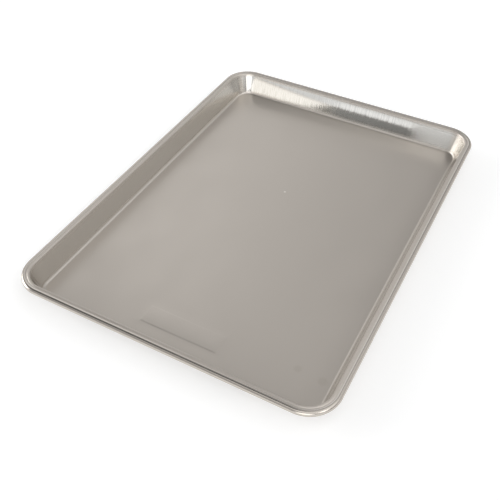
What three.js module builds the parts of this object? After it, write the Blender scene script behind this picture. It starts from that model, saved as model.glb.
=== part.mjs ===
// Half sheet pan: one pressed aluminium sheet, with its edge rolled round a steel rim wire.
// Millimetres, +Z up. The origin is in the middle of the underside and the long sides run along Y.

import * as THREE from 'three';

const degrees = THREE.MathUtils.degToRad;

// Overall sizes, over the outside of the rolled rim
const PAN_LENGTH = 455;
const PAN_WIDTH = 330;
const PAN_HEIGHT = 26.7;

// Pressed sheet
const SHEET = 1.0;
const FLOOR_CORNER_RADIUS = 13.2; // seen from above, at the edge of the flat floor
const FLOOR_FILLET = 3.0; // inside face, between floor and wall
const WALL_DRAFT = degrees(17.5); // lean of the wall from upright

// Upper face of the rim, from the wall outwards
const SHOULDER_BEND = 0.8; // inside radius of the bend that turns the wall outwards
const CREST_DROP = 0.1; // top of the shoulder, below the top of the bead
const GROOVE_RADIUS = 1.2; // hollow between shoulder and bead
const GROOVE_DEPTH = 0.6; // bottom of the hollow, below the top of the bead
const CURL_OPENING = degrees(45); // left open between the free edge of the curl and its root

// Rim wire inside the curl
const WIRE_DIAMETER = 3.6;
const WIRE_CLEARANCE = 0.3;
const WIRE_END_GAP = 1.5; // between the two ends, in the middle of the back

// Facets on each round stretch
const CORNER_STEPS = 9;
const FILLET_STEPS = 5;
const SHOULDER_STEPS = 7;
const GROOVE_STEPS = 4;
const BEAD_FLANK_STEPS = 2;
const BEAD_QUARTER_STEPS = 6;
const CURL_STEPS = 12;
const WIRE_SIDES = 12;

// Sheet profile
// A profile point is (inset, height), with the inset measured inwards from the outer edge of the rim.
// Shoulder, groove and bead are arcs that run smoothly into one another.

// Sideways distance between two arcs that touch, one crowned and one hollow, whose radii add up to
// radiusSum and whose top and bottom differ in height by step.
function reachOf(radiusSum, step) {
  return Math.sqrt(radiusSum ** 2 - (radiusSum - step) ** 2);
}

// Slope of the sheet where those two arcs touch.
function slopeOf(radiusSum, step) {
  return Math.acos((radiusSum - step) / radiusSum);
}

const beadRadius = WIRE_DIAMETER / 2 + WIRE_CLEARANCE + SHEET;
const shoulderRadius = SHOULDER_BEND + SHEET;
const crestStep = GROOVE_DEPTH - CREST_DROP;
const beadSlope = slopeOf(beadRadius + GROOVE_RADIUS, GROOVE_DEPTH);
const shoulderSlope = slopeOf(GROOVE_RADIUS + shoulderRadius, crestStep);

const beadCentre = new THREE.Vector2(beadRadius, PAN_HEIGHT - beadRadius);
const grooveCentre = new THREE.Vector2(
  beadCentre.x + reachOf(beadRadius + GROOVE_RADIUS, GROOVE_DEPTH),
  PAN_HEIGHT - GROOVE_DEPTH + GROOVE_RADIUS,
);
const shoulderCentre = new THREE.Vector2(
  grooveCentre.x + reachOf(GROOVE_RADIUS + shoulderRadius, crestStep),
  PAN_HEIGHT - CREST_DROP - shoulderRadius,
);

// The wall is the straight line that touches both the shoulder and the floor fillet.
const filletHeight = SHEET + FLOOR_FILLET;
const wallLean = (shoulderCentre.y - filletHeight) * Math.sin(WALL_DRAFT);
const wallReach = (shoulderRadius + FLOOR_FILLET + wallLean) / Math.cos(WALL_DRAFT);
const filletCentre = new THREE.Vector2(shoulderCentre.x + wallReach, filletHeight);

// Round stretches of the upper face, from the floor to the free edge of the curl. Angles are measured at
// each centre, anticlockwise from the inward direction. A hollow stretch turns clockwise and has the sheet
// outside its arc. A crowned one turns the other way and has the sheet inside it.
const top = Math.PI / 2;
const outermost = Math.PI;
const bottom = Math.PI * 1.5;
const curlEnd = top - beadSlope - CURL_OPENING;

const fillet = { centre: filletCentre, radius: FLOOR_FILLET, hollow: true };
const shoulder = { centre: shoulderCentre, radius: shoulderRadius, hollow: false };
const groove = { centre: grooveCentre, radius: GROOVE_RADIUS, hollow: true };
const bead = { centre: beadCentre, radius: beadRadius, hollow: false };

const stretches = [
  { ...fillet, from: bottom, to: outermost + WALL_DRAFT, steps: FILLET_STEPS },
  { ...shoulder, from: WALL_DRAFT, to: top + shoulderSlope, steps: SHOULDER_STEPS },
  { ...groove, from: bottom + shoulderSlope, to: bottom - beadSlope, steps: GROOVE_STEPS },
  { ...bead, from: top - beadSlope, to: top, steps: BEAD_FLANK_STEPS },
  { ...bead, from: top, to: outermost, steps: BEAD_QUARTER_STEPS },
  { ...bead, from: outermost, to: curlEnd, steps: CURL_STEPS },
];

// Profile of the face that lies depth below the upper face. The straight wall is the line between the
// fillet and the shoulder, and each stretch after those starts where the one before it ends.
function sheetFace(depth) {
  const arcs = stretches.map(({ centre, radius, hollow, from, to, steps }) => {
    const faceRadius = hollow ? radius + depth : radius - depth;
    const arc = new THREE.EllipseCurve(centre.x, centre.y, faceRadius, faceRadius, from, to, hollow);
    return arc.getPoints(steps);
  });
  const [filletArc, shoulderArc, ...rimArcs] = arcs;
  return [filletArc, shoulderArc, ...rimArcs.map((points) => points.slice(1))].flat();
}

// Plan
// Every level of the pan is a rounded rectangle, and its four corners turn about the same four axes.

const cornerRadius = FLOOR_CORNER_RADIUS + filletCentre.x;
const cornerAxisX = PAN_WIDTH / 2 - cornerRadius;
const cornerAxisY = PAN_LENGTH / 2 - cornerRadius;

// Anticlockwise from the right-hand back corner
const cornerAxes = [
  new THREE.Vector2(cornerAxisX, cornerAxisY),
  new THREE.Vector2(-cornerAxisX, cornerAxisY),
  new THREE.Vector2(-cornerAxisX, -cornerAxisY),
  new THREE.Vector2(cornerAxisX, -cornerAxisY),
];

// Stations round one corner: the axis they turn about and the direction that points outwards.
function cornerStations(axis, corner) {
  return Array.from({ length: CORNER_STEPS + 1 }, (_, step) => {
    const angle = ((corner + step / CORNER_STEPS) * Math.PI) / 2;
    return { axis, outward: new THREE.Vector2(Math.cos(angle), Math.sin(angle)) };
  });
}

// Place of a profile point at one station.
function place({ axis, outward }, { x: inset, y: height }) {
  const radius = cornerRadius - inset;
  return new THREE.Vector3(axis.x + outward.x * radius, axis.y + outward.y * radius, height);
}

// Closed surface through a row of rings with equal counts, with a fan over the first and the last ring.
function loft(rings) {
  const count = rings[0].length;
  const points = rings.flat();
  const triangles = [];
  for (let ring = 0; ring + 1 < rings.length; ring += 1) {
    for (let step = 0; step < count; step += 1) {
      const here = ring * count + step;
      const beside = ring * count + ((step + 1) % count);
      triangles.push(here, here + count, beside + count);
      triangles.push(here, beside + count, beside);
    }
  }
  const lastRing = (rings.length - 1) * count;
  const firstMiddle = points.push(middleOf(rings[0])) - 1;
  const lastMiddle = points.push(middleOf(rings[rings.length - 1])) - 1;
  for (let step = 0; step < count; step += 1) {
    const next = (step + 1) % count;
    triangles.push(firstMiddle, step, next);
    triangles.push(lastMiddle, lastRing + next, lastRing + step);
  }
  const geometry = new THREE.BufferGeometry().setFromPoints(points);
  geometry.setIndex(triangles);
  geometry.computeVertexNormals();
  return geometry;
}

function middleOf(ring) {
  const sum = ring.reduce((total, point) => total.add(point), new THREE.Vector3());
  return sum.divideScalar(ring.length);
}

// Pan shell: floor, walls and rolled rim in one sheet. The upper face runs out from the floor to the free
// edge of the curl and the lower face runs back, and the two fans are the floor's two faces.
function panShell() {
  const stations = cornerAxes.flatMap(cornerStations);
  const profile = [...sheetFace(0), ...sheetFace(SHEET).reverse()];
  const rings = profile.map((point) => stations.map((station) => place(station, point)));
  return loft(rings);
}

// Rim wire: a round wire bent to the plan of the bead, from one end in the middle of the back, round all
// four corners, to the other end.
function rimWire() {
  const section = Array.from({ length: WIRE_SIDES }, (_, side) => {
    const angle = (side / WIRE_SIDES) * Math.PI * 2;
    const outward = (WIRE_DIAMETER / 2) * Math.cos(angle);
    const upward = (WIRE_DIAMETER / 2) * Math.sin(angle);
    return new THREE.Vector2(beadCentre.x - outward, beadCentre.y + upward);
  });
  const back = new THREE.Vector2(0, 1);
  const firstEnd = { axis: new THREE.Vector2(-WIRE_END_GAP / 2, cornerAxisY), outward: back };
  const lastEnd = { axis: new THREE.Vector2(WIRE_END_GAP / 2, cornerAxisY), outward: back };
  const [backRight, ...others] = cornerAxes.map(cornerStations);
  const stations = [firstEnd, ...others.flat(), ...backRight, lastEnd];
  return loft(stations.map((station) => section.map((point) => place(station, point))));
}

function piece(name, geometry, material) {
  const mesh = new THREE.Mesh(geometry, material);
  mesh.name = name;
  return mesh;
}

const naturalAluminium = new THREE.MeshStandardMaterial({ color: 0xb3ada5, roughness: 0.42, metalness: 1 });
const galvanisedSteel = new THREE.MeshStandardMaterial({ color: 0x9ea1a3, roughness: 0.5, metalness: 1 });

const halfSheetPan = new THREE.Group();
halfSheetPan.add(piece('pan_shell', panShell(), naturalAluminium));
halfSheetPan.add(piece('rim_wire', rimWire(), galvanisedSteel));

export default halfSheetPan;
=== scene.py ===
"""Half sheet pan: a tray pressed from one aluminium sheet, its edge curled round a steel wire.

It stands on a white table. Metres, +Z up. The origin is in the middle of the underside, and the long
sides run along Y.
"""

import math

import bpy
import numpy as np
from bpy.props import FloatProperty, FloatVectorProperty, PointerProperty
from mathutils import Matrix, Vector


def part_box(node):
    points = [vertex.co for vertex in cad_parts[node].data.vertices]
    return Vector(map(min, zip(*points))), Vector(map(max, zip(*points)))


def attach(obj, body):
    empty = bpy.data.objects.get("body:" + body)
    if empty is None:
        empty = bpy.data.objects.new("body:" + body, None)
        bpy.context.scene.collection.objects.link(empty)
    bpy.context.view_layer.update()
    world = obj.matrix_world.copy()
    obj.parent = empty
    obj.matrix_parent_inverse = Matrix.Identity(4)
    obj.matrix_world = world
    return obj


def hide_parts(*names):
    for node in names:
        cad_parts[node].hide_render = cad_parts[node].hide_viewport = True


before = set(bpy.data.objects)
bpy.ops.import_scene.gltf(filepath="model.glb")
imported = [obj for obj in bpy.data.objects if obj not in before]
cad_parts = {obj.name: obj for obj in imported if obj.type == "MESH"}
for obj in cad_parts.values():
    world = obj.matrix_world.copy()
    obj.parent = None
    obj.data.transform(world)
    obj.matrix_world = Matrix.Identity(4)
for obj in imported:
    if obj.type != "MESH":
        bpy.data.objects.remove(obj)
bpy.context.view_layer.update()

PAN_LOW, PAN_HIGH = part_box("pan_shell")
WIRE_LOW, WIRE_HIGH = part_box("rim_wire")

bl_info = {
    "name": "Half Sheet Pan",
    "version": (1, 0, 0),
    "blender": (4, 5, 0),
    "location": "3D View > Sidebar > Half Sheet Pan",
    "description": "Presses a half sheet pan from an aluminium sheet and sets it on a white table",
    "category": "Object",
}

MM = 0.001

# Angles on a section through the sheet, anticlockwise from the inward direction
TOP = math.pi / 2
OUTERMOST = math.pi
BOTTOM = math.pi * 1.5
FULL_TURN = math.pi * 2

# How far the metal is worked, where the rolled floor is 0 and the drawn wall is 1: at the top of the
# fillet, and on the curled rim
FILLET_FORMING = 0.3
RIM_FORMING = 2.0

# Shares of the wall's height where the floor's satin ends and where it comes back, and the share of the
# curl over which the rollers polish it away
SATIN_RISE = 0.15
SATIN_FROM = 0.86
POLISHED_BY = 0.06

# How far a wall must face along the pan before the die burnishes it, where, right of the middle, pits
# with a painted pale sheen take over from the burnish, and the power by which they end in the corner
BURNISHED_FROM = 0.6
PITS_AND_SHEEN_FROM = 82 * MM
PITS_AND_SHEEN_FULL = 104 * MM
PITS_AND_SHEEN_POWER = 4

# Steps on each stretch of the section, from the floor to the free edge
FILLET_STEPS = 14
WALL_STEPS = 22
SHOULDER_STEPS = 24
GROOVE_STEPS = 12
CURL_STEPS = 56
EDGE_STEPS = 6

# Grid lines across the floor, and round the wire
CORNER_LINES = 20
LINES_ACROSS = 16
LINES_ALONG = 24
PANEL_EDGE_LINES = 5
WIRE_SIDES = 24
WIRE_CORNER_STEPS = 24

# Decimals of a metre to which two of the floor's lines must agree to be one
LINE_DECIMALS = 7

# Colour sockets of a Mix node, whose names are also those of its sockets for numbers and vectors
MIX_FIRST = 6
MIX_SECOND = 7
MIX_RESULT = 2

# The paper under the pan: half its side, and how far it lies below the pan
TABLE_HALF = 20.0
TABLE_DROP = 0.1 * MM

# The camera: its sensor's width in millimetres, and how far it sees
SENSOR_WIDTH = 36
SIGHT = 50.0


# Sizes and colours that a user may change


def linear(hex_colour):
    """Linear RGB of an sRGB hex colour, by the sRGB transfer curve."""
    share = np.array([int(hex_colour[i : i + 2], 16) for i in (1, 3, 5)]) / 255
    curve = np.where(share <= 0.04045, share / 12.92, ((share + 0.055) / 1.055) ** 2.4)
    return tuple(curve.tolist())


def size_of(name, metres, description):
    return FloatProperty(name=name, description=description, default=metres, unit="LENGTH", precision=5)


def angle_of(name, degrees, description):
    radians = math.radians(degrees)
    return FloatProperty(name=name, description=description, default=radians, subtype="ANGLE")


def share_of(name, value, description):
    return FloatProperty(
        name=name, description=description, default=value, min=0, max=1, subtype="FACTOR"
    )


def strength_of(name, value, description):
    return FloatProperty(name=name, description=description, default=value, min=0)


def colour_of(name, hex_colour, description):
    return FloatVectorProperty(
        name=name, description=description, default=linear(hex_colour), min=0, max=1, subtype="COLOR"
    )


class PanSizes(bpy.types.PropertyGroup):
    """Sizes of the pressed sheet and its rim wire."""

    width: size_of("Width", PAN_HIGH.x - PAN_LOW.x, "Over the rim, across the pan")
    length: size_of("Length", PAN_HIGH.y - PAN_LOW.y, "Over the rim, along the pan")
    height: size_of("Height", PAN_HIGH.z - PAN_LOW.z, "From the underside to the top of the bead")
    sheet: size_of("Sheet", 1.0 * MM, "Thickness of the sheet")
    floor_corner: size_of("Floor corner", 13.2 * MM, "Corner radius of the flat floor, from above")
    floor_fillet: size_of("Floor fillet", 3.0 * MM, "Inside radius between floor and wall")
    wall_draft: angle_of("Wall draft", 17.5, "Lean of the wall from upright")
    wall_bow: size_of("Wall bow", 0.06 * MM, "Inward spring of the wall between its two bends")
    wrinkle_depth: size_of("Wrinkle depth", 0.05 * MM, "Ripples that drawing leaves in the corners")
    wrinkle_pitch: size_of("Wrinkle pitch", 5.2 * MM, "Distance between those ripples")
    shoulder_bend: size_of("Shoulder bend", 0.8 * MM, "Inside radius where the wall turns outwards")
    crest_drop: size_of("Crest drop", 0.1 * MM, "Top of the shoulder below the top of the bead")
    groove_radius: size_of("Groove radius", 1.2 * MM, "Hollow between shoulder and bead")
    groove_depth: size_of("Groove depth", 0.6 * MM, "Bottom of the hollow below the top of the bead")
    curl_opening: angle_of("Curl opening", 45, "Left open from the free edge to the curl's root")
    wire_diameter: size_of("Wire diameter", WIRE_HIGH.z - WIRE_LOW.z, "Thickness of the rim wire")
    wire_clearance: size_of("Wire clearance", 0.3 * MM, "Between the wire and the curl round it")
    wire_end_gap: size_of("Wire end gap", 1.5 * MM, "Between the wire's two ends, at mid-back")
    panel_width: size_of("Panel width", 82 * MM, "Plain stamped panel on the floor, across the pan")
    panel_depth: size_of("Panel depth", 20 * MM, "Plain stamped panel on the floor, along the pan")
    panel_setback: size_of("Panel setback", 181 * MM, "From the floor's middle to the panel's middle")
    panel_rise: size_of("Panel rise", 0.11 * MM, "Height of the panel over the floor")
    panel_edge: size_of("Panel edge", 1.2 * MM, "Width of the slope round the panel")


class PanFinish(bpy.types.PropertyGroup):
    """Colours and gloss of the bare metal."""

    sheet_colour: colour_of("Sheet", "#c6bfb7", "Natural aluminium as it leaves the rolling mill")
    side_colour: colour_of("Drawn wall", "#d0ccc6", "The same metal where the die has stretched it")
    wall_colour: colour_of("Burnished wall", "#cac9c6", "The end walls, which the die has burnished")
    streak_colour: colour_of("Draw streak", "#bfbebb", "Lines that the die rubs into the end walls")
    # Pale tint of the end walls' right end: painted sheen for light reflected there; the pits are real
    painted_sheen_colour: colour_of("Painted sheen", "#e8e7e4", "The end walls' right end, pale with fine pits")
    stain_colour: colour_of("Stain", "#b4aca1", "Faint spots on the floor")
    # The speck is a nick, its glint painted as a pale spot
    nick_glint_colour: colour_of("Nick glint", "#f2efe9", "Bare speck on the floor")
    floor_roughness: share_of("Floor roughness", 0.32, "Satin of the rolled floor")
    floor_haze: share_of("Floor haze", 0.26, "Share of the light that the floor's oxide scatters")
    side_roughness: share_of("Side roughness", 0.22, "Long walls, which the die has burnished less")
    wall_roughness: share_of("End roughness", 0.04, "Burnished end walls, in their smoothest streaks")
    streak_roughness: share_of("Streak roughness", 0.03, "What the roughest draw streaks add to that")
    rim_roughness: share_of("Rim roughness", 0.20, "Curled rim")
    gloss_spread: share_of("Gloss spread", 0.03, "How far clouds and roller chatter vary the gloss")
    wire_colour: colour_of("Wire", "#a3a6a8", "Zinc on the rim wire")


class StageSettings(bpy.types.PropertyGroup):
    """Camera, table and light."""

    camera_azimuth: angle_of("Camera azimuth", 27.435, "Camera's turn to the right of the front")
    camera_elevation: angle_of("Camera elevation", 44.339, "Camera's height over the table")
    camera_roll: angle_of("Camera roll", 0.893, "Camera's tilt about its line of sight")
    camera_distance: size_of("Camera distance", 717.15 * MM, "From the camera to its target")
    target_right: size_of("Target right", 5.31 * MM, "Target to the right of the pan's middle")
    target_front: size_of("Target front", 57.34 * MM, "Target in front of the pan's middle")
    focal_length: FloatProperty(
        name="Focal length", description="Of the camera's lens", default=49.342, min=1, unit="CAMERA"
    )
    table_colour: colour_of("Table", "#e6e6e6", "Share of the light that the table's paper scatters")
    table_glow: strength_of("Table glow", 0.34, "Light that the paper shows of itself")
    room_light: strength_of("Room light", 0.475, "Radiance of the pale room all round")
    left_light: strength_of("Left light", 4.0, "Radiance that the wide low light at the left adds")
    back_light: strength_of("Back light", 0.5, "Radiance that the soft light behind the pan adds")
    right_light: strength_of("Right light", 2.5, "Radiance that the soft light at the right adds")
    right_wall_light: strength_of("Right wall", 0.28, "Radiance that the pale wall at the right adds")
    fill_light: strength_of("Fill light", 0.85, "Radiance of the soft light high at the front left")
    overhead_light: strength_of("Overhead light", 0.63, "Radiance of the light over the table")
    ceiling_shade: share_of("Ceiling shade", 0.93, "Share of the light missing on the dark ceiling")
    rear_shade: share_of("Rear shade", 0.34, "Share of the light missing on the shaded back wall")
    right_card_light: strength_of("Right card", 0.5, "Radiance of the low pale card at the right")
    window_light: strength_of("Front window", 2.0, "Radiance of the soft window beside the camera")
    rear_light: strength_of("Rear light", 0.25, "Radiance of the soft light high at the back")
    card_light: strength_of("White card", 0.35, "Radiance of the low white card in front")
    curtain_light: strength_of("Curtain", 0.57, "Radiance of the low pale curtain in front")


# Surfaces


def arc(centre, radius, start, end, steps):
    """Points centre + radius (cos a, sin a), with the angle a going evenly from start to end."""
    angle = np.linspace(start, end, steps + 1)
    return np.array(centre) + radius * np.stack([np.cos(angle), np.sin(angle)], axis=1)


def touching_arcs(radius_sum, step):
    """Sideways distance of a crowned and a hollow arc that touch, and the sheet's slope where they do.

    Their radii add up to R and their top and bottom differ in height by h: cos(slope) is (R - h) / R,
    and the distance is R sin(slope).
    """
    slope = math.acos((radius_sum - step) / radius_sum)
    return radius_sum * math.sin(slope), slope


class SheetSection:
    """Section through wall and rim: (inset, height) points from the floor to the free edge and back.

    The inset is measured inwards from the outer edge of the rim. Fillet, shoulder, groove and curl are
    arcs that touch, the wall is the line between fillet and shoulder, and the lower face lies one sheet
    below the upper one.
    """

    def __init__(self, size):
        self.size = size
        self.bead_radius = size.wire_diameter / 2 + size.wire_clearance + size.sheet
        self.shoulder_radius = size.shoulder_bend + size.sheet
        bead_sum = self.bead_radius + size.groove_radius
        bead_reach, self.bead_slope = touching_arcs(bead_sum, size.groove_depth)
        crest_step = size.groove_depth - size.crest_drop
        shoulder_sum = size.groove_radius + self.shoulder_radius
        shoulder_reach, self.shoulder_slope = touching_arcs(shoulder_sum, crest_step)
        self.bead = (self.bead_radius, size.height - self.bead_radius)
        groove_height = size.height - size.groove_depth + size.groove_radius
        self.groove = (self.bead[0] + bead_reach, groove_height)
        crest = size.height - size.crest_drop
        self.shoulder = (self.groove[0] + shoulder_reach, crest - self.shoulder_radius)
        fillet_height = size.sheet + size.floor_fillet
        lean = (self.shoulder[1] - fillet_height) * math.sin(size.wall_draft)
        reach = (self.shoulder_radius + size.floor_fillet + lean) / math.cos(size.wall_draft)
        self.fillet = (self.shoulder[0] + reach, fillet_height)
        # The rounded free edge ends at the opening, so the flat faces stop half a sheet before it
        edge_turn = size.sheet / 2 / (self.bead_radius - size.sheet / 2)
        self.curl_end = TOP + FULL_TURN - self.bead_slope - size.curl_opening - edge_turn

    @property
    def flat_inset(self):
        return self.fillet[0]

    def face(self, depth):
        """The face that lies depth below the upper one, stretch by stretch.

        The wall is A + (B - A) s + bow sin(pi s), with s crowded towards both ends by half a cosine wave.
        """
        size = self.size
        draft = size.wall_draft
        foot_radius = size.floor_fillet + depth
        foot = arc(self.fillet, foot_radius, BOTTOM, OUTERMOST + draft, FILLET_STEPS)
        brow_radius = self.shoulder_radius - depth
        brow = arc(self.shoulder, brow_radius, draft, TOP + self.shoulder_slope, SHOULDER_STEPS)
        share = (1 - np.cos(np.linspace(0, math.pi, WALL_STEPS + 1)[1:-1, None])) / 2
        inwards = np.array([math.cos(draft), math.sin(draft)])
        bow = size.wall_bow * np.sin(math.pi * share) * inwards
        wall = foot[-1] + (brow[0] - foot[-1]) * share + bow
        hollow_radius = size.groove_radius + depth
        hollow_start = BOTTOM + self.shoulder_slope
        hollow = arc(self.groove, hollow_radius, hollow_start, BOTTOM - self.bead_slope, GROOVE_STEPS)
        curl_radius = self.bead_radius - depth
        curl = arc(self.bead, curl_radius, TOP - self.bead_slope, self.curl_end, CURL_STEPS)
        return [foot, wall, brow, hollow[1:], curl[1:]]

    def forming(self, stretches):
        """How far the metal was worked, at each point: 0 on the floor, 1 on the wall, 2 on the rim.

        It grows a little up the fillet and quickly to 1 at the foot of the wall. Near the wall's top it
        goes back to 0, because the shoulder and the groove keep the floor's satin, and where the curl
        begins it goes quickly to 2.
        """
        foot, wall, brow, hollow, curl = (len(points) for points in stretches)
        up = (1 - np.cos(np.linspace(0, math.pi, wall + 2)[1:-1])) / 2
        satin_again = np.clip((up - SATIN_FROM) / (1 - SATIN_FROM), 0, 1)
        return np.concatenate([
            np.linspace(0, FILLET_FORMING, foot),
            np.clip(FILLET_FORMING + up / SATIN_RISE, 0, 1) - satin_again,
            np.zeros(brow + hollow),
            RIM_FORMING * np.clip(np.linspace(0, 1 / POLISHED_BY, curl), 0, 1),
        ])

    def rise(self, stretches):
        """Share of the way up the wall, at each point, and 0 off the wall."""
        foot, wall, *rim = (len(points) for points in stretches)
        up = np.linspace(0, 1, wall + 2)[1:-1]
        return np.concatenate([np.zeros(foot), up, np.zeros(sum(rim))])

    def loop(self):
        """Points, forming and rise along the upper face, round the free edge and along the lower face."""
        upper, lower = self.face(0), self.face(self.size.sheet)
        half_sheet = self.size.sheet / 2
        edge_centre = arc(self.bead, self.bead_radius - half_sheet, self.curl_end, self.curl_end, 0)[0]
        edge = arc(edge_centre, half_sheet, self.curl_end, self.curl_end + math.pi, EDGE_STEPS)[1:-1]
        points = np.concatenate([*upper, edge, np.concatenate(lower)[::-1]])
        forming = self.forming(upper)
        rise = self.rise(upper)
        edge_forming = np.full(len(edge), RIM_FORMING)
        return (
            points,
            np.concatenate([forming, edge_forming, forming[::-1]]),
            np.concatenate([rise, np.zeros(len(edge)), rise[::-1]]),
        )


def floor_lines(half, radius, even_lines, marks):
    """Grid lines across the flat floor, from -half to half.

    They lie evenly between the corners, one lies on each mark, and in the corners, at radius sin(a) past
    the corner's axis for even steps of a, they crowd towards the edge.
    """
    axis = half - radius
    turn = axis + radius * np.sin(np.linspace(0, math.pi / 2, CORNER_LINES + 1))
    even = np.linspace(-axis, axis, even_lines + 1)
    return np.unique(np.concatenate([-turn, even, marks, turn]).round(LINE_DECIMALS))


def rounded(points, half, radius):
    """Grid points of a rectangle moved onto a rectangle with round corners.

    In each corner square, where u and v run from 0 to 1 towards the edges, a point goes to
    (u sqrt(1 - v v / 2), v sqrt(1 - u u / 2)), which makes the square a quarter disc. The rest stays.
    """
    past = np.clip(np.abs(points) - (half - radius), 0, None) / radius
    bent = past * np.sqrt(1 - past[..., ::-1] ** 2 / 2)
    return points + np.sign(points) * (bent - past) * radius


def edge_marks(middle, span, width):
    """Grid lines that a sloping edge needs: a few across it, at each end of the span."""
    across = np.linspace(-width / 2, width / 2, PANEL_EDGE_LINES)
    return np.concatenate([middle - span / 2 + across, middle + span / 2 + across])


def panel_relief(points, size):
    """Height of the stamped panel.

    It is rise (3 s s - 2 s s s), with s going from 0 to 1 inwards across the panel's outline.
    """
    aside = np.abs(points - np.array([0, -size.panel_setback]))
    outside = (aside - np.array([size.panel_width, size.panel_depth]) / 2).max(axis=-1)
    share = np.clip(0.5 - outside / size.panel_edge, 0, 1)
    return size.panel_rise * share**2 * (3 - 2 * share)


def quads_of(index):
    """Quads of a grid of vertex numbers, whose faces point along (first axis) x (second axis)."""
    corners = [index[:-1, :-1], index[1:, :-1], index[1:, 1:], index[:-1, 1:]]
    return np.stack(corners, axis=-1).reshape(-1, 4)


def rim_of(index):
    """Numbers round the edge of a grid, anticlockwise from the last row's first column, each once."""
    return np.concatenate([index[-1, :-1], index[:0:-1, -1], index[0, :0:-1], index[:-1, 0]])


def new_piece(name, points, faces, material):
    """A smooth mesh object at the origin, with its place in its points."""
    mesh = bpy.data.meshes.new(name)
    mesh.from_pydata(points.tolist(), [], faces)
    mesh.shade_smooth()
    mesh.materials.append(material)
    piece = bpy.data.objects.new(name, mesh)
    bpy.context.scene.collection.objects.link(piece)
    return piece


def mark_points(piece, name, first, values):
    """Gives each point of a piece a named value: 0 before the first marked point, then the values."""
    spread = np.zeros(len(piece.data.vertices), np.float32)
    spread[first:] = values
    piece.data.attributes.new(name, "FLOAT", "POINT").data.foreach_set("value", spread)


def pan_shell(size, material):
    """The pressed sheet as one closed surface.

    Its floor is a grid with round corners, for each face. Its wall and rim are the sheet's section carried
    round the floor's edge: a point of the section lies at edge + outward (flat_inset - inset), at its own
    height. The corner walls also ripple by depth c sin(2 pi d / pitch) sin(pi rise), where d is the way
    round and c is twice the product of the outward direction's two parts, which is 0 along the sides and
    1 in mid-corner.

    The points carry three values for the material: forming, and the burnish of the end walls and their
    share of pits and painted sheen. The UV map is in metres: across and along the floor, and on wall and
    rim the way round and the
    way along the section.
    """
    section = SheetSection(size)
    half = np.array([size.width, size.length]) / 2 - section.flat_inset
    panel_sides = edge_marks(0, size.panel_width, size.panel_edge)
    panel_ends = edge_marks(-size.panel_setback, size.panel_depth, size.panel_edge)
    across = floor_lines(half[0], size.floor_corner, LINES_ACROSS, panel_sides)
    along = floor_lines(half[1], size.floor_corner, LINES_ALONG, panel_ends)
    square = np.stack(np.meshgrid(across, along, indexing="ij"), axis=-1)
    grid = rounded(square, half, size.floor_corner)
    relief = panel_relief(grid, size)
    top = np.concatenate([grid, (relief + size.sheet)[..., None]], axis=-1).reshape(-1, 3)
    under = np.concatenate([grid, relief[..., None]], axis=-1).reshape(-1, 3)
    number = np.arange(len(top)).reshape(grid.shape[:2])
    around = rim_of(number)

    edge = grid.reshape(-1, 2)[around]
    axes = half - size.floor_corner
    outward = (edge - np.clip(edge, -axes, axes)) / size.floor_corner
    loop, forming, rise = section.loop()
    corner = 2 * np.abs(outward[:, 0] * outward[:, 1])
    mid_wall = edge + outward * (section.flat_inset - section.shoulder[0]) / 2
    stride = np.linalg.norm(np.roll(mid_wall, -1, axis=0) - mid_wall, axis=1)
    way = np.concatenate([[0], np.cumsum(stride)])
    ripple = corner * np.sin(FULL_TURN * way[:-1] / size.wrinkle_pitch)
    swell = size.wrinkle_depth * np.sin(math.pi * rise)[:, None] * ripple
    reach = section.flat_inset - loop[:, :1] + swell
    carried = np.empty((len(loop), len(edge), 3))
    carried[..., :2] = edge + outward * reach[..., None]
    carried[..., 2] = loop[:, 1:]

    # The section's first and last points are the floor's own edges, above and below
    inner = carried[1:-1].reshape(-1, 3)
    first_inner = 2 * len(top)
    inner_number = first_inner + np.arange(len(inner)).reshape(-1, len(edge))
    wall_number = np.concatenate([around[None], inner_number, around[None] + len(top)])
    wall_number = np.concatenate([wall_number, wall_number[:, :1]], axis=1)
    floor_quads = quads_of(number)
    wall_quads = quads_of(wall_number)
    points = np.concatenate([top, under, inner])
    faces = np.concatenate([floor_quads, floor_quads[:, ::-1] + len(top), wall_quads])
    piece = new_piece("pan_shell_sheet", points, faces.tolist(), material)

    # End walls' right end: real pits under a pale tint of painted sheen
    end = np.clip((np.abs(outward[:, 1]) - BURNISHED_FROM) / (1 - BURNISHED_FROM), 0, 1)
    pitted_sheen = np.clip((edge[:, 0] - PITS_AND_SHEEN_FROM) / (PITS_AND_SHEEN_FULL - PITS_AND_SHEEN_FROM), 0, 1)
    on_wall = rise[1:-1] > 0
    burnish = np.outer(on_wall, end * (1 - pitted_sheen))
    pits_and_sheen = np.outer(on_wall, end**PITS_AND_SHEEN_POWER * pitted_sheen)
    mark_points(piece, "forming", first_inner, np.repeat(forming[1:-1], len(edge)))
    mark_points(piece, "burnish", first_inner, burnish.ravel())
    mark_points(piece, "pits_and_sheen", first_inner, pits_and_sheen.ravel())

    run = np.concatenate([[0], np.cumsum(np.linalg.norm(np.diff(loop, axis=0), axis=1))])
    corners = np.stack(np.broadcast_arrays(way, run[:, None]), axis=-1)
    corner_number = np.arange(corners.size // 2).reshape(corners.shape[:2])
    wall_map = corners.reshape(-1, 2)[quads_of(corner_number)]
    floor_map = grid.reshape(-1, 2)[floor_quads]
    layout = np.concatenate([floor_map, floor_map[:, ::-1], wall_map]).astype(np.float32)
    piece.data.uv_layers.new(name="sheet_run").uv.foreach_set("vector", layout.ravel())
    return piece


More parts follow.
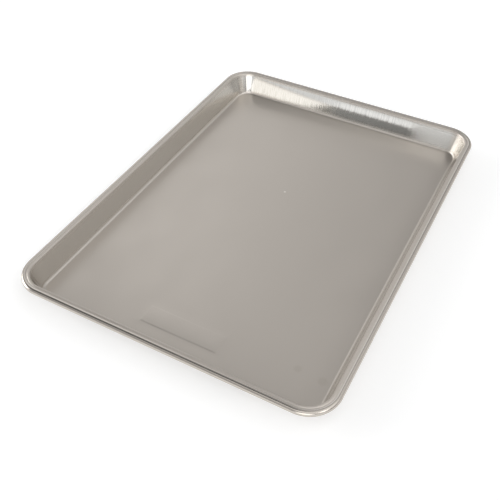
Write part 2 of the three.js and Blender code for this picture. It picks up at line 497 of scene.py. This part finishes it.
def rim_wire(size, material):
    """The rim wire: a circle carried along the bead's centre line, with a cap of one face at each end.

    The line starts in the middle of the back, follows four quarter circles joined by straight runs, and
    ends a small gap from its start. A point lies at axis + outward (radius + r cos b), at height + r sin b.
    """
    section = SheetSection(size)
    corner_radius = size.floor_corner + section.flat_inset - section.bead[0]
    axes = np.array([size.width, size.length]) / 2 - section.bead[0] - corner_radius
    quarter = np.arange(1, 5)[:, None] + np.linspace(0, 1, WIRE_CORNER_STEPS + 1)
    turn = (quarter * math.pi / 2).ravel()
    outward = np.stack([np.cos(turn), np.sin(turn)], axis=1)
    signs = np.array([[-1, 1], [-1, -1], [1, -1], [1, 1]])
    axis = np.repeat(signs * axes, WIRE_CORNER_STEPS + 1, axis=0)
    first_end = np.array([[-size.wire_end_gap / 2, axes[1]]])
    last_end = np.array([[size.wire_end_gap / 2, axes[1]]])
    axis = np.concatenate([first_end, axis, last_end])
    outward = np.concatenate([[[0, 1]], outward, [[0, 1]]])
    side = np.linspace(0, FULL_TURN, WIRE_SIDES, endpoint=False)
    reach = corner_radius + size.wire_diameter / 2 * np.cos(side)
    points = np.empty((len(axis), WIRE_SIDES, 3))
    points[..., :2] = axis[:, None] + outward[:, None] * reach[:, None]
    points[..., 2] = section.bead[1] + size.wire_diameter / 2 * np.sin(side)
    number = np.arange(points.size // 3).reshape(points.shape[:2])
    closed = np.concatenate([number, number[:, :1]], axis=1)
    caps = [number[0, ::-1].tolist(), number[-1].tolist()]
    faces = quads_of(closed).tolist() + caps
    return new_piece("rim_wire_round", points.reshape(-1, 3), faces, material)


# Materials


def add_node(tree, kind, inputs=None, **settings):
    """Adds one node, sets its properties, and gives each named or numbered input a value or a link."""
    node = tree.nodes.new(kind)
    for name, value in settings.items():
        setattr(node, name, value)
    for key, value in (inputs or {}).items():
        if isinstance(value, bpy.types.NodeSocket):
            tree.links.new(value, node.inputs[key])
        else:
            node.inputs[key].default_value = value
    return node


def new_material(name):
    """An empty node material and its output node."""
    material = bpy.data.materials.new(name)
    material.use_nodes = True
    material.node_tree.nodes.clear()
    return material, add_node(material.node_tree, "ShaderNodeOutputMaterial")


def sheet_shares(tree):
    """Shares of floor, wall and rim in the metal at a point, from the values that the points carry.

    The floor's share is 1 - forming and the rim's is forming - 1, both kept over 0, and the wall has the
    rest. Of the wall, the burnish makes one part bright, and another part gets pits and a painted sheen.
    """
    forming, burnish, pits_and_sheen = (
        add_node(tree, "ShaderNodeAttribute", attribute_name=name).outputs["Fac"]
        for name in ("forming", "burnish", "pits_and_sheen")
    )
    floor = add_node(
        tree, "ShaderNodeMath", {0: 1.0, 1: forming}, operation="SUBTRACT", use_clamp=True
    ).outputs[0]
    rim = add_node(
        tree, "ShaderNodeMath", {0: forming, 1: 1.0}, operation="SUBTRACT", use_clamp=True
    ).outputs[0]
    off_wall = add_node(tree, "ShaderNodeMath", {0: floor, 1: rim}, operation="ADD").outputs[0]
    wall = add_node(tree, "ShaderNodeMath", {0: 1.0, 1: off_wall}, operation="SUBTRACT").outputs[0]
    bright = add_node(tree, "ShaderNodeMath", {0: wall, 1: burnish}, operation="MULTIPLY").outputs[0]
    pitted_sheen = add_node(tree, "ShaderNodeMath", {0: wall, 1: pits_and_sheen}, operation="MULTIPLY").outputs[0]
    return {
        "floor": floor,
        "wall": wall,
        "rim": rim,
        "burnish": burnish,
        "bright_wall": bright,
        "pitted_sheen_wall": pitted_sheen,
    }


def sheet_patterns(tree, place):
    """Noise patterns of the sheet, each with its size along the axes that it follows.

    Grain and clouds follow the place on the pan, and the others follow the way round the pan and along
    the section. Grain, streaks and speckle are finer on the real sheet, and drawn coarse to show.
    """
    run = add_node(tree, "ShaderNodeUVMap", uv_map="sheet_run").outputs["UV"]
    patterns = {}
    for name, follows, size, detail in (
        ("grain", place, (0.9 * MM, 9 * MM, 9 * MM), 2.0),
        ("clouds", place, (38 * MM, 60 * MM, 38 * MM), 3.0),
        ("streaks", run, (1.4 * MM, 16 * MM, MM), 2.0),
        ("speckle", run, (1.8 * MM, 1.8 * MM, MM), 1.0),
        ("chatter", run, (1.2 * MM, 6 * MM, MM), 2.0),
    ):
        scale = tuple(1 / length for length in size)
        spread = add_node(tree, "ShaderNodeMapping", {"Vector": follows, "Scale": scale}).outputs[0]
        patterns[name] = add_node(
            tree, "ShaderNodeTexNoise", {"Vector": spread, "Scale": 1.0, "Detail": detail}
        ).outputs["Fac"]
    return patterns


def sheet_bump(tree, shares, patterns):
    """Normals bent by grain on the floor, streaks on the bright wall and pits on the gritty wall."""
    height = 0.0
    for pattern, share, depth in (
        ("grain", "floor", 0.03 * MM),
        ("streaks", "bright_wall", 0.05 * MM),
        ("speckle", "pitted_sheen_wall", 0.06 * MM),
    ):
        relief = add_node(
            tree, "ShaderNodeMath", {0: patterns[pattern], 1: depth}, operation="MULTIPLY"
        ).outputs[0]
        height = add_node(
            tree, "ShaderNodeMath", {0: relief, 1: shares[share], 2: height}, operation="MULTIPLY_ADD"
        ).outputs[0]
    full = {"Height": height, "Strength": 1.0, "Distance": 1.0}
    return add_node(tree, "ShaderNodeBump", full).outputs[0]


def sheet_roughness(tree, finish, shares, patterns):
    """Roughness of floor, wall and rim, each varied by a pattern and taken by its share.

    Clouds vary the floor, roller chatter the rim, and draw streaks the wall, which is the smoother the
    more it is burnished.
    """
    ends = {"To Min": finish.side_roughness, "To Max": finish.wall_roughness}
    smoothest = add_node(
        tree, "ShaderNodeMapRange", {"Value": shares["burnish"], **ends}
    ).outputs[0]
    roughest = add_node(
        tree, "ShaderNodeMath", {0: smoothest, 1: finish.streak_roughness}, operation="ADD"
    ).outputs[0]
    spread = finish.gloss_spread
    noise_range = {"From Min": 0.35, "From Max": 0.65}
    roughness = 0.0
    for share, pattern, least, most in (
        ("floor", "clouds", finish.floor_roughness - spread, finish.floor_roughness + spread),
        ("wall", "streaks", smoothest, roughest),
        ("rim", "chatter", finish.rim_roughness - spread, finish.rim_roughness + spread),
    ):
        gloss = add_node(
            tree,
            "ShaderNodeMapRange",
            {"Value": patterns[pattern], **noise_range, "To Min": least, "To Max": most},
        ).outputs[0]
        roughness = add_node(
            tree, "ShaderNodeMath", {0: gloss, 1: shares[share], 2: roughness}, operation="MULTIPLY_ADD"
        ).outputs[0]
    return roughness


def sheet_colour(tree, finish, shares, patterns):
    """Colour of the sheet: the rolled metal's, then the drawn wall's, the bright wall's and the painted
    sheen.

    Streaks darken the bright wall, and pits the painted sheen of the pitted end, where their noise is high.
    """
    streak_range = {"From Min": 0.45, "From Max": 0.7, "To Max": shares["burnish"]}
    pit_range = {"From Min": 0.4, "From Max": 0.65, "To Max": 0.4}
    colour = (*finish.sheet_colour, 1)
    darker = (*finish.streak_colour, 1)
    tints = [("wall", (*finish.side_colour, 1))]
    for share, pattern, noise_range, tint in (
        ("bright_wall", "streaks", streak_range, finish.wall_colour),
        # Pale tint of the pitted end, a painted sheen
        ("pitted_sheen_wall", "speckle", pit_range, finish.painted_sheen_colour),
    ):
        marked = add_node(
            tree, "ShaderNodeMapRange", {"Value": patterns[pattern], **noise_range}
        ).outputs[0]
        varied = add_node(
            tree,
            "ShaderNodeMix",
            {"Factor": marked, MIX_FIRST: (*tint, 1), MIX_SECOND: darker},
            data_type="RGBA",
        ).outputs[MIX_RESULT]
        tints.append((share, varied))
    for share, tint in tints:
        colour = add_node(
            tree,
            "ShaderNodeMix",
            {"Factor": shares[share], MIX_FIRST: colour, MIX_SECOND: tint},
            data_type="RGBA",
        ).outputs[MIX_RESULT]
    return colour


def floor_marks(tree, finish, sheet, place, colour):
    """The colour with two faint stains and a painted glint on a nick, each a round spot with a soft edge.

    They lie on the upper face, in a space stretched upwards so that they don't come through the sheet.
    """
    stretch = 10.0
    core = 0.4
    upper_face = stretch * sheet
    stretched = add_node(
        tree, "ShaderNodeMapping", {"Vector": place, "Scale": (1.0, 1.0, stretch)}
    ).outputs[0]
    for right, back, radius, tint, strength in (
        (114 * MM, -171 * MM, 5 * MM, finish.stain_colour, 0.3),
        (139 * MM, -173 * MM, 6 * MM, finish.stain_colour, 0.3),
        # A nick, its glint painted as a pale spot
        (-4 * MM, 45 * MM, 1.6 * MM, finish.nick_glint_colour, 0.8),
    ):
        off = add_node(
            tree,
            "ShaderNodeVectorMath",
            {0: stretched, 1: (right, back, upper_face)},
            operation="DISTANCE",
        ).outputs["Value"]
        fading = {"From Min": radius * core, "From Max": radius, "To Min": strength, "To Max": 0.0}
        mark = add_node(
            tree, "ShaderNodeMapRange", {"Value": off, **fading}, interpolation_type="SMOOTHSTEP"
        ).outputs[0]
        colour = add_node(
            tree,
            "ShaderNodeMix",
            {"Factor": mark, MIX_FIRST: colour, MIX_SECOND: (*tint, 1)},
            data_type="RGBA",
        ).outputs[MIX_RESULT]
    return colour


def natural_aluminium(finish, sheet):
    """Natural aluminium sheet, mill rolled, then drawn and curled.

    The rolled floor, the shoulder and the groove look warm and satin, with a fine grain along the pan,
    soft clouds and a thin haze of oxide, and the floor has two faint stains and a painted glint on a nick.
    The long walls are a finer satin. The die has burnished the end walls, which mirror the room in upright
    draw streaks and end pitted at the right, under a pale tint of painted sheen. The curled bead is smooth,
    with faint roller chatter in its gloss.
    """
    material, output = new_material("natural_aluminium_rolled_and_drawn")
    tree = material.node_tree
    place = add_node(tree, "ShaderNodeTexCoord").outputs["Object"]
    shares = sheet_shares(tree)
    patterns = sheet_patterns(tree, place)
    colour = sheet_colour(tree, finish, shares, patterns)
    haze = {"To Min": 1.0, "To Max": 1 - finish.floor_haze}
    bare = add_node(tree, "ShaderNodeMapRange", {"Value": shares["floor"], **haze}).outputs[0]
    metal = add_node(
        tree,
        "ShaderNodeBsdfPrincipled",
        {
            "Base Color": floor_marks(tree, finish, sheet, place, colour),
            "Metallic": bare,
            "Roughness": sheet_roughness(tree, finish, shares, patterns),
            "Normal": sheet_bump(tree, shares, patterns),
        },
    )
    tree.links.new(metal.outputs[0], output.inputs["Surface"])
    return material


def galvanised_wire(finish):
    """Steel wire, drawn and hot-dip galvanised: a dull zinc grey, in cloudy lighter and darker patches."""
    material, output = new_material("galvanised_drawn_steel_wire")
    tree = material.node_tree
    patch_size = 4 * MM
    place = add_node(tree, "ShaderNodeTexCoord").outputs["Object"]
    patches = add_node(
        tree, "ShaderNodeTexNoise", {"Vector": place, "Scale": 1 / patch_size, "Detail": 4.0}
    ).outputs["Fac"]
    patch_range = {"Value": patches, "From Min": 0.3, "From Max": 0.7}
    roughness = add_node(
        tree, "ShaderNodeMapRange", {**patch_range, "To Min": 0.42, "To Max": 0.6}
    ).outputs[0]
    shade = add_node(
        tree, "ShaderNodeMapRange", {**patch_range, "To Min": 0.86, "To Max": 1.1}
    ).outputs[0]
    colour = add_node(
        tree, "ShaderNodeVectorMath", {0: tuple(finish.wire_colour), "Scale": shade}, operation="SCALE"
    ).outputs[0]
    metal = add_node(
        tree,
        "ShaderNodeBsdfPrincipled",
        {"Base Color": colour, "Metallic": 1.0, "Roughness": roughness},
    )
    tree.links.new(metal.outputs[0], output.inputs["Surface"])
    return material


def white_paper(settings):
    """Matt white background paper, which scatters the light evenly and shows the pan's soft shadow."""
    material, output = new_material("matt_white_background_paper")
    tree = material.node_tree
    light_path = add_node(tree, "ShaderNodeLightPath").outputs
    seen = add_node(
        tree,
        "ShaderNodeMath",
        {0: light_path["Is Camera Ray"], 1: light_path["Is Glossy Ray"]},
        operation="ADD",
    ).outputs[0]
    shown = add_node(
        tree,
        "ShaderNodeMath",
        {0: seen, 1: light_path["Is Transmission Ray"]},
        operation="ADD",
        use_clamp=True,
    ).outputs[0]
    glow = add_node(
        tree, "ShaderNodeMath", {0: shown, 1: settings.table_glow}, operation="MULTIPLY"
    ).outputs[0]
    colour = (*settings.table_colour, 1)
    paper = add_node(tree, "ShaderNodeBsdfDiffuse", {"Color": colour}).outputs[0]
    light = add_node(tree, "ShaderNodeEmission", {"Strength": glow}).outputs[0]
    both = add_node(tree, "ShaderNodeAddShader", {0: paper, 1: light}).outputs[0]
    tree.links.new(both, output.inputs["Surface"])
    return material


# Stage


def direction(azimuth, elevation):
    """Unit vector towards a compass angle, from +Y towards +X, and an angle over the table, in degrees."""
    a, e = math.radians(azimuth), math.radians(elevation)
    return Vector((math.sin(a) * math.cos(e), math.cos(a) * math.cos(e), math.sin(e)))


def lobe(tree, ray, towards, none, full):
    """Share that grows smoothly as a ray nears a direction, between two angles from it in degrees."""
    cosine = add_node(
        tree, "ShaderNodeVectorMath", {0: ray, 1: towards}, operation="DOT_PRODUCT"
    ).outputs["Value"]
    limits = {"From Min": math.cos(math.radians(none)), "From Max": math.cos(math.radians(full))}
    return add_node(
        tree, "ShaderNodeMapRange", {"Value": cosine, **limits}, interpolation_type="SMOOTHSTEP"
    ).outputs[0]


def studio_world(settings):
    """Studio round the table: an even room, to which soft lights add their lobes, less two shades.

    Each light or shade has a direction, the angles from it where it ends and where it is full, and its
    radiance or the share that it takes away.
    """
    world = bpy.data.worlds.new("studio")
    world.use_nodes = True
    tree = world.node_tree
    tree.nodes.clear()
    ray = add_node(tree, "ShaderNodeTexCoord").outputs["Generated"]
    level = settings.room_light
    for towards, none, full, radiance in (
        (direction(-104, 14), 26, 9, settings.left_light),
        (direction(-40, 31), 32, 12, settings.back_light),
        (direction(107, 40), 12, 6, settings.right_light),
        (direction(50, 38), 43, 12, settings.right_wall_light),
        (direction(-140, 70), 24, 8, settings.fill_light),
        (direction(105, 60), 45, 5, settings.overhead_light),
        (direction(118, 11), 19, 8, settings.right_card_light),
        (direction(160, 15), 27, 13, settings.window_light),
        (direction(8, 58), 19, 8, settings.rear_light),
    ):
        share = lobe(tree, ray, towards, none, full)
        level = add_node(
            tree, "ShaderNodeMath", {0: share, 1: radiance, 2: level}, operation="MULTIPLY_ADD"
        ).outputs[0]
    for towards, none, full, missing in (
        (direction(-86, 65), 27, 16, settings.ceiling_shade),
        (direction(-10, 41), 21, 7, settings.rear_shade),
    ):
        share = lobe(tree, ray, towards, none, full)
        kept = add_node(
            tree, "ShaderNodeMapRange", {"Value": share, "To Min": 1.0, "To Max": 1 - missing}
        ).outputs[0]
        level = add_node(tree, "ShaderNodeMath", {0: level, 1: kept}, operation="MULTIPLY").outputs[0]
    background = add_node(
        tree, "ShaderNodeBackground", {"Color": (1, 1, 1, 1), "Strength": level}
    ).outputs[0]
    add_node(tree, "ShaderNodeOutputWorld", {"Surface": background})
    bpy.context.scene.world = world


def softbox(name, towards, distance, width, height, radiance):
    """A rectangular area lamp that faces the pan's middle. Its power is radiance x area x pi."""
    lamp = bpy.data.lights.new(name, "AREA")
    lamp.shape = "RECTANGLE"
    lamp.size = width
    lamp.size_y = height
    lamp.energy = radiance * width * height * math.pi
    box = bpy.data.objects.new(name, lamp)
    box.location = towards * distance
    box.rotation_euler = towards.to_track_quat("Z", "Y").to_euler()
    box.visible_camera = False
    bpy.context.scene.collection.objects.link(box)


def paper_table(settings):
    """Square of paper under the pan, a hair below it."""
    square = np.array([[-1, -1], [1, -1], [1, 1], [-1, 1]]) * TABLE_HALF
    corners = np.column_stack([square, np.full(len(square), -TABLE_DROP)])
    table = new_piece("paper_table", corners, [[0, 1, 2, 3]], white_paper(settings))


def stage_camera(settings):
    """Camera on a sphere round its target, rolled about its line of sight."""
    azimuth, elevation = settings.camera_azimuth, settings.camera_elevation
    roll = settings.camera_roll
    back = direction(180 - math.degrees(azimuth), math.degrees(elevation))
    level = back.cross(Vector((0, 0, -1))).normalized()
    upright = back.cross(level)
    right = level * math.cos(roll) + upright * math.sin(roll)
    up = back.cross(right)
    target = Vector((settings.target_right, -settings.target_front, 0))
    camera = bpy.data.objects.new("camera", bpy.data.cameras.new("camera"))
    camera.data.lens = settings.focal_length
    camera.data.sensor_width = SENSOR_WIDTH
    camera.data.clip_end = SIGHT
    camera.matrix_world = Matrix.LocRotScale(
        target + back * settings.camera_distance, Matrix((right, up, back)).transposed(), None
    )
    bpy.context.scene.collection.objects.link(camera)
    bpy.context.scene.camera = camera


# Operators, panel and registration


class PressShell(bpy.types.Operator):
    """Press the pan's sheet and curl its rim"""

    bl_idname = "half_sheet_pan.press_shell"
    bl_label = "Press Shell"

    def execute(self, context):
        sizes, finish = context.scene.pan_sizes, context.scene.pan_finish
        shell = pan_shell(sizes, natural_aluminium(finish, sizes.sheet))
        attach(shell, "root")
        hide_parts("pan_shell")
        return {"FINISHED"}


class BendRimWire(bpy.types.Operator):
    """Bend the wire that stiffens the rim"""

    bl_idname = "half_sheet_pan.bend_rim_wire"
    bl_label = "Bend Rim Wire"

    def execute(self, context):
        wire = rim_wire(context.scene.pan_sizes, galvanised_wire(context.scene.pan_finish))
        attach(wire, "root")
        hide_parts("rim_wire")
        return {"FINISHED"}


class SetStage(bpy.types.Operator):
    """Lay the table, light it and place the camera"""

    bl_idname = "half_sheet_pan.set_stage"
    bl_label = "Set Stage"

    def execute(self, context):
        settings = context.scene.pan_stage
        context.scene.view_settings.view_transform = "Standard"
        paper_table(settings)
        studio_world(settings)
        for name, towards, distance, width, height, radiance in (
            ("white_card", direction(-166.5, 2.75), 1.4, 0.33, 0.05, settings.card_light),
            ("curtain", direction(-159, 3.5), 1.5, 1.1, 0.18, settings.curtain_light),
        ):
            softbox(name, towards, distance, width, height, radiance)
        stage_camera(settings)
        return {"FINISHED"}


class PanPanel(bpy.types.Panel):
    """Sizes, finish and stage of the pan, with its three steps"""

    bl_idname = "VIEW3D_PT_half_sheet_pan"
    bl_label = "Half Sheet Pan"
    bl_space_type = "VIEW_3D"
    bl_region_type = "UI"
    bl_category = "Half Sheet Pan"

    def draw(self, context):
        for group in (context.scene.pan_sizes, context.scene.pan_finish, context.scene.pan_stage):
            column = self.layout.column(align=True)
            for name in group.__annotations__:
                column.prop(group, name)
        for step in STEPS:
            self.layout.operator(step.bl_idname)


GROUPS = {"pan_sizes": PanSizes, "pan_finish": PanFinish, "pan_stage": StageSettings}
STEPS = (PressShell, BendRimWire, SetStage)
CLASSES = (*GROUPS.values(), *STEPS, PanPanel)


def register():
    for cls in CLASSES:
        bpy.utils.register_class(cls)
    for name, group in GROUPS.items():
        setattr(bpy.types.Scene, name, PointerProperty(type=group))


def unregister():
    for name in GROUPS:
        delattr(bpy.types.Scene, name)
    for cls in reversed(CLASSES):
        bpy.utils.unregister_class(cls)


def main():
    """Makes the pan and its stage."""
    register()
    bpy.ops.half_sheet_pan.press_shell()
    bpy.ops.half_sheet_pan.bend_rim_wire()
    bpy.ops.half_sheet_pan.set_stage()


if __name__ == "__main__":
    main()
